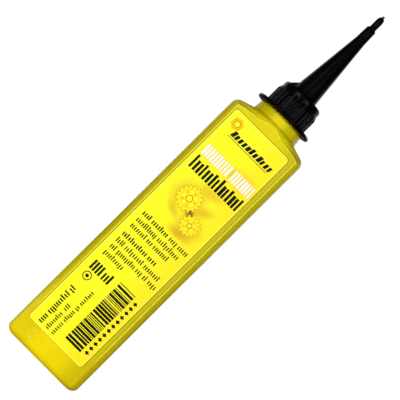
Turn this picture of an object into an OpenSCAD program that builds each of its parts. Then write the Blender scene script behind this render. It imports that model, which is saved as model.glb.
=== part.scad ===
// Small flat oil bottle for a bicycle chain: a blown body with a screwed neck,
// a label on its front, and a one-piece spout cap with a closed cut-off tip.
// Z runs up the spout from the middle of the foot, and the label faces -Y.

/* [Body] */
// Width of the body across its front
body_w = 31.6; // [28:0.4:38]
// Depth of the body from front to back
body_d = 20; // [19.5:0.5:26]
// Height at which the straight sides end
body_h = 105.9; // [104:0.1:130]
// Width of the flat front panel between its two creases
panel_w = 26.9; // [23:0.1:27.5]
// Depth of the flat part of each narrow side
side_d = 12; // [8:0.5:14]
// Degrees that a rounded edge turns from the side to the panel's crease, 90 has no crease
edge_turn = 60; // [45:1:89]
// Thickness of the blown wall
wall = 0.9; // [0.6:0.1:1.2]

/* [Foot] */
// Radius between the sides and the foot
foot_r = 2.4; // [1.5:0.1:3]
// Width of the rim that the bottle stands on
foot_rim_w = 1.3; // [0.8:0.1:3]
// Depth of the pushed-up middle of the base
push_up = 0.9; // [0.4:0.1:1.6]
// Thickness of the base
floor_t = 1; // [0.8:0.1:1.6]

/* [Shoulder] */
// Radius between a narrow side and the shoulder
shoulder_r = 3; // [2:0.1:4]
// Slope of the shoulder in degrees
shoulder_slope = 17.8; // [14:0.2:26]
// Height at which the front panel starts to narrow, above the straight sides
panel_start = 0.36; // [0.2:0.02:1]
// Height over which the panel narrows to its peak
panel_peak = 3.66; // [3:0.02:3.8]
// Hollow of the panel's two upper edges, 1 is straight
panel_hollow = 1.3; // [1:0.05:2]

/* [Neck] */
// Diameter of the round step under the cap, at its foot
step_d = 18.95; // [18:0.05:19.2]
// Diameter of the same step at its top
step_top_d = 18.3; // [17:0.1:18.6]
// Height of that step
step_h = 3.85; // [3:0.05:5]
// Diameter of the neck between its threads
neck_d = 11.6; // [11:0.1:11.8]
// Height of the neck above the step
neck_h = 8.5; // [8.3:0.05:10]
// Bore of the neck
bore_d = 9; // [7.8:0.1:9.6]

/* [Screw thread] */
// Rise of the thread in one turn
pitch = 3; // [2.8:0.05:3.1]
// Depth of a thread ridge
thread_depth = 0.85; // [0.6:0.05:0.95]
// Width of a ridge where it leaves its wall
thread_root_w = 1.6; // [1.2:0.05:1.7]
// Width of a ridge at its crest
thread_crest_w = 0.6; // [0.4:0.05:0.8]
// Height of the neck thread's start above the step
thread_start = 2.6; // [2.5:0.05:2.8]
// Turns of thread on the neck
neck_turns = 1.5; // [1:0.125:1.5]
// Turns of thread in the cap
cap_turns = 1.125; // [0.75:0.125:1.5]
// Radial clearance between a crest and the wall that it faces
thread_gap = 0.25; // [0.15:0.05:0.3]
// Gap between the two thread flanks that carry the tightened cap
thread_play = 0.15; // [0.1:0.05:0.25]

/* [Seal ring] */
// Thickness of the seal ring
seal_t = 0.75; // [0.5:0.05:1.2]
// Gap between the ring and each face that it seals
seat_gap = 0.05; // [0.03:0.01:0.08]
// Radial clearance between the ring and the cap around it
seal_fit = 0.15; // [0.08:0.01:0.25]

/* [Cap] */
// Diameter of the drip flange
flange_d = 22.9; // [20:0.1:26]
// Thickness of the drip flange
flange_t = 1.3; // [1:0.1:2]
// Gap between the flange and the step under it
flange_gap = 0.12; // [0.1:0.01:0.3]
// Diameter of the collar without its ribs
collar_d = 15.8; // [15.4:0.1:18]
// Radius of the collar's top edge
collar_r = 1; // [0.5:0.1:1.1]
// Thickness of the collar's closed top
roof_t = 1.2; // [1:0.1:2]
// Number of grip ribs round the collar
rib_count = 28; // [20:1:34]
// Width of a grip rib
rib_w = 1.1; // [0.8:0.05:1.2]
// How far a grip rib stands out of the collar
rib_out = 0.6; // [0.4:0.05:0.65]
// Bare height of the collar above the ribs
rib_stop = 2.2; // [1.6:0.1:3]
// Height over which a rib's top end runs in to the collar
rib_fade = 1.4; // [0.6:0.1:2]

/* [Spout] */
// Diameter of the spout at the collar
spout_d = 9.55; // [8.8:0.05:10.2]
// Diameter at the end of the spout's taper
taper_end_d = 3.95; // [3.4:0.05:4.6]
// Length of the spout's taper above the collar
taper_h = 26.7; // [22:0.1:34]
// Diameter of the slim stretch above the taper, at its top
slim_d = 3.65; // [3.3:0.05:3.9]
// Length of that slim stretch
slim_h = 5.3; // [4:0.1:8]
// Thickness of the spout's wall
spout_wall = 1.2; // [0.9:0.05:1.3]
// Radius between the spout and the collar
spout_foot_r = 0.5; // [0.3:0.1:0.8]
// Number of fins that brace the spout
fin_count = 3; // [2:1:6]
// Thickness of a fin
fin_t = 0.7; // [0.5:0.05:1]
// How far a fin reaches out from the spout
fin_out = 2.1; // [1.5:0.1:2.2]
// Height of a fin
fin_h = 2.4; // [1.5:0.1:3.5]

/* [Tip] */
// Diameter of the closed tip
tip_d = 2.5; // [2.2:0.1:3]
// Height of the slope that leads from the spout in to the tip
tip_step = 0.45; // [0.2:0.05:1]
// Length of the closed tip
tip_h = 4.95; // [4:0.05:7]
// Length of the tip's pointed nose
nose_h = 1.8; // [1:0.1:2.5]
// Diameter of the nose at its flat end
nose_d = 0.9; // [0.8:0.05:1.2]
// Diameter of the bore that cutting the tip opens
tip_bore_d = 1.2; // [0.8:0.1:1.4]
// Length of solid plastic at the end of the tip
tip_solid = 2.4; // [1.5:0.1:3]
// Diameter of the moulding nub on the tip
nub_d = 0.7; // [0.4:0.05:0.75]
// Height of the moulding nub
nub_h = 0.65; // [0.3:0.05:1]

/* [Label] */
// Width of the label
label_w = 24.3; // [20:0.1:25.3]
// Height of the label
label_h = 96.9; // [60:0.1:97]
// Thickness of the label
label_t = 0.12; // [0.08:0.02:0.3]
// Height of the label's lower edge above the foot
label_z = 8.35; // [5:0.05:8.5]
// Sideways shift of the label from the middle, to the left where negative
label_x = -0.75; // [-0.8:0.05:0]
// Radius of the label's corners
label_r = 1.2; // [0.5:0.1:3]

/* [Contents] */
// Height of the oil's surface above the foot
fill_z = 95; // [40:1:95]
// Gap between the oil and the wall round it
fill_gap = 0.06; // [0.04:0.01:0.1]

/* [Hidden] */
$fn = 96;

plastic_yellow = [0.93, 0.86, 0.1];
label_yellow = [1, 0.98, 0.18];
oil_amber = [0.72, 0.56, 0.16];
seal_white = [0.88, 0.88, 0.84];
cap_black = [0.06, 0.06, 0.06];

// Steps of a rounded corner, and of the curved and the sloping stretches up the body
corner_steps = 8;
foot_steps = 5;
shoulder_steps = 6;
// Half width of the flats that are left where the shoulder has become round
round_flat = 0.12;
// How far a cutter runs past a face, and a ridge is rooted in its wall
over = 0.5;
root = 0.3;

half_w = body_w / 2;
half_d = body_d / 2;
panel_half = panel_w / 2;
side_half = side_d / 2;
step_r = step_d / 2;
// The shoulder rises round its corner, then along its slope to the step
corner_rise = shoulder_r * cos(shoulder_slope);
slope_start = half_w - shoulder_r * (1 - sin(shoulder_slope));
shoulder_h = corner_rise + (slope_start - step_r) * tan(shoulder_slope);
step_z = body_h + shoulder_h;
step_top_z = step_z + step_h;
rim_z = step_top_z + neck_h;
floor_z = push_up + floor_t;

neck_r = neck_d / 2;
bore_r = bore_d / 2;
socket_r = neck_r + thread_depth + thread_gap;
flange_z = step_top_z + flange_gap;
collar_z = flange_z + flange_t;
seal_z = rim_z + seat_gap;
roof_z = seal_z + seal_t + seat_gap;
spout_z = roof_z + roof_t;
slim_z = spout_z + taper_h + slim_h;
tip_z = slim_z + tip_step;
nub_z = tip_z + tip_h;

// Slope of a thread flank, and the drop from the neck's ridge to the cap's
flank = (thread_root_w - thread_crest_w) / 2 / thread_depth;
ridge_drop = thread_root_w - flank * (thread_depth + thread_gap) + thread_play;
thread_z = step_top_z + thread_start;
cap_thread_turn = -0.125;
// Share of a turn in which a thread ridge runs out, and its steps in one turn
run_out = 0.08;
turn_steps = 24;

// Points of an arc about c, from angle t0 to t1
function arc(c, r, t0, t1, n) =
    [for (i = [0:n]) let (t = t0 + (t1 - t0) * i / n) c + r * [cos(t), sin(t)]];

// One level outline: half width a and half depth b, with flats of half length f and g.
// Its corners leave the side smoothly and meet the front at a crease after e degrees.
function outline(a, b, f, g, e) =
    let (across = (a - f) / (1 - cos(e)), deep = (b - g) / sin(e))
    [for (q = [0:3]) for (i = [0:corner_steps])
        let (k = q % 2 == 0 ? i : corner_steps - i,
             t = e * k / corner_steps,
             sx = q == 0 || q == 3 ? 1 : -1,
             sy = q < 2 ? 1 : -1)
        [sx * (a - across * (1 - cos(t))), sy * (g + deep * sin(t))]];

// Share of the panel's width that is left at height h above the straight sides
function panel_share(h) =
    pow(1 - max(0, min(1, (h - panel_start) / panel_peak)), panel_hollow);

// Level of the shoulder at height h above the straight sides, half width a, drawn in by t
function shoulder_level(h, a, t) =
    let (u = h / shoulder_h,
         b = step_r + (half_d - step_r) * sqrt(max(0, 1 - pow(u, 12))),
         f = round_flat + (panel_half - round_flat) * panel_share(h),
         g = round_flat + (side_half - round_flat) * pow(1 - u, 1.2))
    [body_h + h - t, a - t, b - t, f, g, edge_turn + (90 - edge_turn) * pow(u, 4)];

// Levels of the shoulder: round its corner, then up its slope to the step
function shoulder(t) =
    let (start = asin(panel_start / shoulder_r), stop = 90 - shoulder_slope, n = shoulder_steps)
    concat(
        [shoulder_level(0, half_w, t)],
        [for (k = [0:n])
            let (v = start + (stop - start) * k / n)
            shoulder_level(shoulder_r * sin(v), half_w - shoulder_r * (1 - cos(v)), t)],
        [for (k = [1:n])
            let (a = slope_start + (step_r - slope_start) * k / n)
            shoulder_level(corner_rise + (slope_start - a) * tan(shoulder_slope), a, t)]);

// Levels of the foot's curve, drawn in by t, from a floor at z0
function foot(t, z0) =
    let (r = foot_r - t / 2)
    [for (k = [0:foot_steps])
        let (v = 90 * k / foot_steps, s = r * (1 - sin(v)))
        [z0 + r * (1 - cos(v)), half_w - t - s, half_d - t - s, panel_half - s / 2, side_half - s / 2, edge_turn]];

// Levels of the body's skin, drawn in by t, from a floor at z0 to the neck
function skin(t, z0) = concat(foot(t, z0), shoulder(t));

// Solid through a list of levels [z, a, b, f, g, e]
module loft(levels) {
    n = 4 * (corner_steps + 1);
    m = len(levels);
    points = [for (l = levels) for (p = outline(l[1], l[2], l[3], l[4], l[5])) [p[0], p[1], l[0]]];
    sides = [for (i = [0:m - 2]) for (j = [0:n - 1])
        let (k = (j + 1) % n)
        [i * n + j, (i + 1) * n + j, (i + 1) * n + k, i * n + k]];
    bottom = [for (j = [0:n - 1]) j];
    top = [for (j = [n - 1:-1:0]) (m - 1) * n + j];
    polyhedron(points = points, faces = concat([bottom], sides, [top]), convexity = 4);
}

// One thread ridge on a wall of radius r, outward where out is 1 and inward where it is -1
module ridge(r, out, z0, turns, first_turn) {
    n = round(turns * turn_steps);
    root_half = thread_root_w / 2 + flank * root;
    points = [for (i = [0:n])
        let (turn = turns * i / n,
             share = min(1, turn / run_out, (turns - turn) / run_out),
             high = share * (thread_depth + root / 2) - root / 2,
             crest_half = thread_root_w / 2 - flank * high,
             a = 360 * (first_turn + turn),
             z = z0 + pitch * (first_turn + turn),
             ring = [[r - out * root, -root_half], [r + out * high, -crest_half],
                     [r + out * high, crest_half], [r - out * root, root_half]])
        for (k = out > 0 ? [0, 1, 2, 3] : [1, 0, 3, 2])
            [ring[k][0] * cos(a), ring[k][0] * sin(a), z + ring[k][1]]];
    sides = [for (i = [0:n - 1]) for (k = [0:3])
        let (l = (k + 1) % 4)
        [4 * i + k, 4 * i + l, 4 * (i + 1) + l, 4 * (i + 1) + k]];
    polyhedron(points = points, faces = concat([[3, 2, 1, 0]], sides, [[4 * n, 4 * n + 1, 4 * n + 2, 4 * n + 3]]),
        convexity = 6);
}

// Outside of the neck: the round step with a hollow foot, then the threaded neck with a rounded rim
module neck_outside() {
    top_r = step_top_d / 2;
    foot = 0.5;
    foot_rise = foot * (1 - sin(shoulder_slope)) / cos(shoulder_slope);
    edge = 0.5;
    rim = 0.4;
    rotate_extrude()
        polygon(concat(
            [[0, body_h], [step_r - wall, body_h]],
            arc([step_r + foot, step_z + foot_rise], foot, 270 - shoulder_slope, 180, 4),
            arc([top_r - edge, step_top_z - edge], edge, 0, 90, 4),
            [[neck_r, step_top_z]],
            arc([neck_r - rim, rim_z - rim], rim, 0, 90, 4),
            [[0, rim_z]]));
}

// Inside of the neck: wide within the step, then the straight bore
module neck_inside() {
    wide_r = step_top_d / 2 - wall;
    slope = 1.2;
    rotate_extrude()
        polygon([
            [0, body_h - wall], [step_r - 2 * wall, body_h - wall],
            [wide_r, step_z - wall], [wide_r, step_top_z - wall - slope],
            [bore_r + slope, step_top_z - wall], [bore_r, step_top_z - wall + slope],
            [bore_r, rim_z + over], [0, rim_z + over]]);
}

// The pushed-up middle of the base, with sloping walls and round corners
module base_recess() {
    inset = foot_r + foot_rim_w;
    corner = 2.2;
    levels = [for (k = [-1, 1])
        let (a = half_w - inset - push_up * k, b = half_d - inset - push_up * k)
        [k * push_up, a, b, a - corner, b - corner, 90]];
    loft(levels);
}

module bottle() {
    color(plastic_yellow)
    difference() {
        union() {
            loft(skin(0, 0));
            neck_outside();
            ridge(neck_r, 1, thread_z, neck_turns, 0);
        }
        loft(skin(wall, floor_z));
        neck_inside();
        base_recess();
    }
}

module label() {
    color(label_yellow)
    translate([label_x, -half_d, label_z + label_h / 2])
    rotate([90, 0, 0])
    linear_extrude(label_t)
    union() {
        square([label_w - 2 * label_r, label_h], center = true);
        square([label_w, label_h - 2 * label_r], center = true);
        for (sx = [-1, 1])
            for (sz = [-1, 1])
                translate([sx * (label_w / 2 - label_r), sz * (label_h / 2 - label_r)])
                circle(label_r);
    }
}

module lube() {
    below = foot(wall + fill_gap, floor_z + fill_gap);
    top = below[len(below) - 1];
    color(oil_amber)
    loft(concat(below, [[fill_z, top[1], top[2], top[3], top[4], top[5]]]));
}

module seal_ring() {
    color(seal_white)
    translate([0, 0, seal_z])
    difference() {
        cylinder(r = socket_r - seal_fit, h = seal_t);
        translate([0, 0, -over])
        cylinder(r = bore_r, h = seal_t + 2 * over);
    }
}

// Radius of the spout at height h above the collar
function spout_r(h) =
    h < taper_h
        ? (spout_d + (taper_end_d - spout_d) * h / taper_h) / 2
        : (taper_end_d + (slim_d - taper_end_d) * min(1, (h - taper_h) / slim_h)) / 2;

// Outline of the cap's outside, from the axis at the flange to the end of the nub
function cap_outside() =
    let (rim = flange_t / 2, tip_r = tip_d / 2, end_r = nose_d / 2, steps = 5)
    concat(
        [[0, flange_z]],
        arc([flange_d / 2 - rim, flange_z + rim], rim, -90, 90, 8),
        [[collar_d / 2, collar_z]],
        arc([collar_d / 2 - collar_r, spout_z - collar_r], collar_r, 0, 90, 5),
        arc([spout_d / 2 + spout_foot_r, spout_z + spout_foot_r], spout_foot_r, 270, 186, 4),
        [[taper_end_d / 2, spout_z + taper_h], [slim_d / 2, slim_z], [tip_r + 0.15, tip_z - 0.1],
         [tip_r, tip_z], [tip_r, nub_z - nose_h]],
        [for (i = [1:steps])
            let (t = 90 * i / steps)
            [end_r + (tip_r - end_r) * cos(t), nub_z - nose_h * (1 - sin(t))]],
        [[nub_d / 2, nub_z], [nub_d / 2, nub_z + nub_h], [0, nub_z + nub_h]]);

// Outline of the hollow: the socket for the neck, then the channel up the spout
function cap_inside() =
    let (bore = tip_bore_d / 2, end_z = nub_z - tip_solid)
    [[0, flange_z - over], [socket_r, flange_z - over], [socket_r, roof_z],
     [spout_r(0) - spout_wall, roof_z], [spout_r(0) - spout_wall, spout_z],
     [spout_r(taper_h) - spout_wall, spout_z + taper_h], [bore, spout_z + taper_h + slim_h / 2],
     [bore, end_z], [0, end_z + bore]];

// Grip ribs round the collar, with top ends that slope in to it
module grip_ribs() {
    ribs_z = spout_z - rib_stop;
    in_r = socket_r + root;
    out_r = collar_d / 2 + rib_out;
    foot_z = collar_z - root;
    slope = rib_fade / rib_out;
    top_z = ribs_z + slope * root / 2;
    intersection() {
        translate([0, 0, foot_z])
        linear_extrude(top_z + root - foot_z)
        for (i = [0:rib_count - 1])
            rotate(360 * i / rib_count)
            translate([out_r - rib_w / 2, 0])
            circle(d = rib_w, $fn = 32);
        rotate_extrude()
            polygon([
                [in_r, foot_z - over], [out_r + over, foot_z - over],
                [out_r + over, ribs_z - slope * (rib_out + over)], [collar_d / 2 - root / 2, top_z], [in_r, top_z]]);
    }
}

// One fin between the collar's top and the spout, in the XZ plane
module fin() {
    inner = spout_r(fin_h) - root;
    rotate([90, 0, 0])
    translate([0, 0, -fin_t / 2])
    linear_extrude(fin_t)
    polygon([
        [inner, spout_z - root], [spout_d / 2 + fin_out, spout_z - root],
        [spout_d / 2 + fin_out, spout_z], [spout_r(fin_h), spout_z + fin_h],
        [inner, spout_z + fin_h]]);
}

module spout_cap() {
    color(cap_black)
    union() {
        difference() {
            union() {
                rotate_extrude() polygon(cap_outside());
                grip_ribs();
                for (i = [0:fin_count - 1])
                    rotate(180 + 360 * i / fin_count)
                    fin();
            }
            rotate_extrude() polygon(cap_inside());
        }
        ridge(socket_r, -1, thread_z - ridge_drop, cap_turns, cap_thread_turn);
    }
}

bottle();
label();
lube();
seal_ring();
spout_cap();
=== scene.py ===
"""Dressed model of a small flat oil bottle for a bicycle chain.

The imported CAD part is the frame. The blown body and the spout cap are replaced by finer meshes with the
same sizes, the label, the oil and the seal ring keep their CAD shapes, and the label gets a generic print.
Sizes are in millimetres in the classes below, apart from the lamps', and meshes are made in metres.
"""

import logging
import math
import random
from dataclasses import dataclass, field
from enum import Enum
from functools import cached_property
from typing import Callable, Iterable, Sequence

import bpy
import numpy as np
from mathutils import Matrix, Vector


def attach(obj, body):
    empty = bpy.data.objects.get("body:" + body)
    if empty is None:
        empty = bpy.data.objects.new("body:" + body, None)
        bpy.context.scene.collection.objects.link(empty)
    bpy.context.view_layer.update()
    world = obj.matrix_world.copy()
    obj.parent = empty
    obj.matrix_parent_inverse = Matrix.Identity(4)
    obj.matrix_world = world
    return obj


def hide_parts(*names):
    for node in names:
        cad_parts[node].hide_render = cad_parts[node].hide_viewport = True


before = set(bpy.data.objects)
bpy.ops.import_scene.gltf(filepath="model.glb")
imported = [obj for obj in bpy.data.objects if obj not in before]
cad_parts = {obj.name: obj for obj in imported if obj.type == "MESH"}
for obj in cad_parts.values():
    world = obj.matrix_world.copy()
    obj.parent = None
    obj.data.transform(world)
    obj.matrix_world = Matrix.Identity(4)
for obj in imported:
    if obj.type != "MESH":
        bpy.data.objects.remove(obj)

logging.basicConfig(level=logging.INFO, format="%(message)s")
log = logging.getLogger("chain_lube_bottle")

MM = 0.001
Point = tuple[float, float]
Spot = tuple[float, float, float]
Ring = list[tuple[float, float, float, float]]
Outline = tuple[list[Point], list[Point]]
Colour = tuple[float, float, float]
Change = Callable[[float, float, float], Point]


class Slot(Enum):
    """Material slots of the record."""

    BOTTLE = "bottle_plastic"
    LABEL = "label_film"
    OIL = "oil"
    SEAL = "seal_foam"
    CAP = "cap_plastic"


class Body(Enum):
    """Moving bodies of the frame."""

    BOTTLE = "bottle"
    SEAL = "seal"
    CAP = "cap"


def srgb(red: int, green: int, blue: int) -> Colour:
    """Turn a screen colour of 0 to 255 into linear values.

    Args:
        red: Red on the screen.
        green: Green on the screen.
        blue: Blue on the screen.

    Returns:
        The three linear values.
    """

    def one(value: float) -> float:
        """Return one channel in linear light."""
        share = value / 255
        return share / 12.92 if share <= 0.04045 else ((share + 0.055) / 1.055) ** 2.4

    return one(red), one(green), one(blue)


def smooth(value: float, low: float, high: float) -> float:
    """Return a smooth share from 0 at low to 1 at high."""
    share = min(1.0, max(0.0, (value - low) / (high - low)))
    return share * share * (3 - 2 * share)


def arc(centre: Point, radius: float, start: float, stop: float, steps: int) -> list[Point]:
    """Return points on an arc.

    Args:
        centre: Middle of the arc.
        radius: Radius of the arc.
        start: First angle in degrees.
        stop: Last angle in degrees.
        steps: Number of stretches.

    Returns:
        The points, both ends with them.
    """
    angles = [math.radians(start + (stop - start) * i / steps) for i in range(steps + 1)]
    return [(centre[0] + radius * math.cos(t), centre[1] + radius * math.sin(t)) for t in angles]


def shifted(offsets: Sequence[Point], at: Point) -> list[Point]:
    """Return points at offsets from a place."""
    return [(at[0] + x, at[1] + z) for x, z in offsets]


def along(start: Point, stop: Point, steps: int) -> list[Point]:
    """Return evenly spaced points after start, up to and with stop."""
    return [
        (start[0] + (stop[0] - start[0]) * i / steps, start[1] + (stop[1] - start[1]) * i / steps)
        for i in range(1, steps + 1)
    ]


class MeshMaker:
    """Turns rings and outlines in millimetres into Blender objects."""

    @staticmethod
    def link(name: str, points: Sequence[Spot], faces: Sequence[Sequence[int]]) -> bpy.types.Object:
        """Make an object from points and faces.

        Args:
            name: Name of the piece.
            points: Corners in millimetres.
            faces: Corner numbers of each face.

        Returns:
            The new object, in the scene.
        """
        mesh = bpy.data.meshes.new(name)
        mesh.from_pydata([tuple(c * MM for c in p) for p in points], [], [tuple(f) for f in faces])
        mesh.validate()
        mesh.update()
        piece = bpy.data.objects.new(name, mesh)
        bpy.context.scene.collection.objects.link(piece)
        return piece

    @classmethod
    def sleeve(
        cls, name: str, rings: np.ndarray, start: Point, stop: Point, sharp: float
    ) -> bpy.types.Object:
        """Make a closed skin through rings of as many points, with a fan at either end.

        Args:
            name: Name of the piece.
            rings: Points of the rings, and after each a share of crease where the shape has one.
            start: Radius offset and height of the first fan's middle.
            stop: Radius offset and height of the last fan's middle.
            sharp: Angle in degrees over which an edge is shaded sharp.

        Returns:
            The new object.
        """
        count, around = rings.shape[0], rings.shape[1]
        points = [tuple(p) for p in rings[:, :, :3].reshape(-1, 3)]
        points += [(start[0], 0.0, start[1]), (stop[0], 0.0, stop[1])]
        first, last = count * around, count * around + 1
        faces: list[tuple[int, ...]] = []
        for i in range(count - 1):
            low, high = i * around, (i + 1) * around
            for j in range(around):
                k = (j + 1) % around
                faces.append((low + j, low + k, high + k, high + j))
        top = (count - 1) * around
        for j in range(around):
            k = (j + 1) % around
            faces.append((k, j, first))
            faces.append((top + j, top + k, last))
        piece = cls.link(name, points, faces)
        if rings.shape[2] > 3:
            crease = piece.data.attributes.new("crease", "FLOAT", "POINT")
            crease.data.foreach_set("value", [*rings[:, :, 3].reshape(-1), 0.0, 0.0])
        cls.shade(piece, sharp)
        return piece

    @classmethod
    def plates(
        cls, name: str, outlines: Iterable[Outline], back: float, thickness: float
    ) -> bpy.types.Object:
        """Make thin plates that face -Y, one for each outline.

        Args:
            name: Name of the piece.
            outlines: Corners (x, z) of each plate's edge, counter-clockwise seen from -Y, and of its hole if
                it has one, corner by corner.
            back: Y of the plates' back.
            thickness: Thickness of the plates.

        Returns:
            The new object.
        """
        points: list[tuple[float, float, float]] = []
        faces: list[tuple[int, ...]] = []
        for edge, hole in outlines:
            n, loops = len(edge), []
            for loop in filter(None, (edge, hole)):
                loops.append(range(len(points), len(points) + n))
                points += [(x, y, z) for y in (back - thickness, back) for x, z in loop]
            for loop, way in zip(loops, (1, -1)):
                for a, b in zip(loop, [*loop[1:], loop[0]]):
                    faces.append((b, a, a + n, b + n)[::way])
            front = [tuple(loops[0])]
            if hole:
                out, inn = ([*loop, loop[0]] for loop in loops)
                front = [(out[i], out[i + 1], inn[i + 1], inn[i]) for i in range(n)]
            faces += front + [tuple(v + n for v in reversed(face)) for face in front]
        return cls.link(name, points, faces)

    @staticmethod
    def shade(piece: bpy.types.Object, sharp: float) -> None:
        """Shade a piece smooth, with edges over an angle in degrees left sharp."""
        mesh = piece.data
        mesh.polygons.foreach_set("use_smooth", [True] * len(mesh.polygons))
        mesh.set_sharp_from_angle(angle=math.radians(sharp))
        mesh.update()


def place(piece: bpy.types.Object, body: Body, material: bpy.types.Material) -> bpy.types.Object:
    """Put a finished piece on its body and material, and report it.

    Args:
        piece: The new piece, in its place.
        body: Body that it rides on.
        material: Its material.

    Returns:
        The same piece.
    """
    piece.data.materials.clear()
    piece.data.materials.append(material)
    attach(piece, body.value)
    log.info("%s: %d faces on %s", piece.name, len(piece.data.polygons), body.value)
    return piece


# Shader groups and materials


class Tree:
    """Short calls for adding and joining shader nodes."""

    def __init__(self, tree: bpy.types.NodeTree) -> None:
        """Keep the node tree and start at its left side."""
        self.tree = tree
        self.column = 0

    def add(self, kind: str, inputs: dict | None = None, **settings: object) -> bpy.types.Node:
        """Add a node.

        Args:
            kind: Type of the node.
            inputs: Values or sockets for its inputs, by name or number.
            settings: Properties of the node.

        Returns:
            The node.
        """
        node = self.tree.nodes.new(kind)
        node.location = (self.column * 190, 0)
        self.column += 1
        for name, value in settings.items():
            setattr(node, name, value)
        for name, value in (inputs or {}).items():
            self.put(node.inputs[name], value)
        return node

    def put(self, socket: bpy.types.NodeSocket, value: object) -> None:
        """Link a socket to another, or set its value."""
        if isinstance(value, bpy.types.NodeSocket):
            self.tree.links.new(value, socket)
        elif isinstance(value, tuple) and len(value) == 3 and socket.type == "RGBA":
            socket.default_value = (*value, 1.0)
        else:
            socket.default_value = value

    def math(self, kind: str, *values: object, clamp: bool = False) -> bpy.types.NodeSocket:
        """Return the result of a math node over up to three values."""
        return self.add("ShaderNodeMath", dict(enumerate(values)), operation=kind, use_clamp=clamp).outputs[0]

    def mix(self, share: object, first: object, second: object) -> bpy.types.NodeSocket:
        """Return a colour between two, by a share from 0 to 1."""
        return self.add("ShaderNodeMix", {0: share, 6: first, 7: second}, data_type="RGBA").outputs[2]

    def band(self, value: object, low: float, high: float) -> bpy.types.NodeSocket:
        """Return a smooth share from 0 at low to 1 at high."""
        inputs = {"Value": value, "From Min": low, "From Max": high}
        return self.add("ShaderNodeMapRange", inputs, interpolation_type="SMOOTHSTEP").outputs[0]

    def patch(self, share: float, *bands: tuple[object, float, float]) -> bpy.types.NodeSocket:
        """Return a share where all bands are full, each from 0 at its first limit to 1 at its second."""
        mask: object = share
        for value, low, high in bands:
            mask = self.math("MULTIPLY", self.band(value, low, high), mask)
        return mask

    def here(self) -> bpy.types.NodeSocket:
        """Return the place on the object in metres."""
        return self.add("ShaderNodeTexCoord").outputs["Object"]

    def here_mm(self) -> bpy.types.NodeSocket:
        """Return the place on the object in millimetres."""
        inputs = {0: self.here(), "Scale": 1 / MM}
        return self.add("ShaderNodeVectorMath", inputs, operation="SCALE").outputs[0]

    def split(self, vector: bpy.types.NodeSocket) -> list[bpy.types.NodeSocket]:
        """Return the X, Y and Z of a vector."""
        return list(self.add("ShaderNodeSeparateXYZ", {"Vector": vector}).outputs)

    def facing(self) -> list[bpy.types.NodeSocket]:
        """Return the X, Y and Z of the surface's normal."""
        return self.split(self.add("ShaderNodeNewGeometry").outputs["Normal"])

    def noise(self, at: object, scale: object, detail: float, roughness: float = 0.5) -> bpy.types.NodeSocket:
        """Return a noise from 0 to 1 at a place."""
        inputs = {"Vector": at, "Scale": scale, "Detail": detail, "Roughness": roughness}
        return self.add("ShaderNodeTexNoise", inputs).outputs[0]

    def group(self, kind: bpy.types.NodeTree, **inputs: object) -> bpy.types.NodeOutputs:
        """Place a shared group and return its outputs. A _ in an input's name stands for a space."""
        named = {name.replace("_", " "): value for name, value in inputs.items()}
        return self.add("ShaderNodeGroup", named, node_tree=kind).outputs


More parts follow.
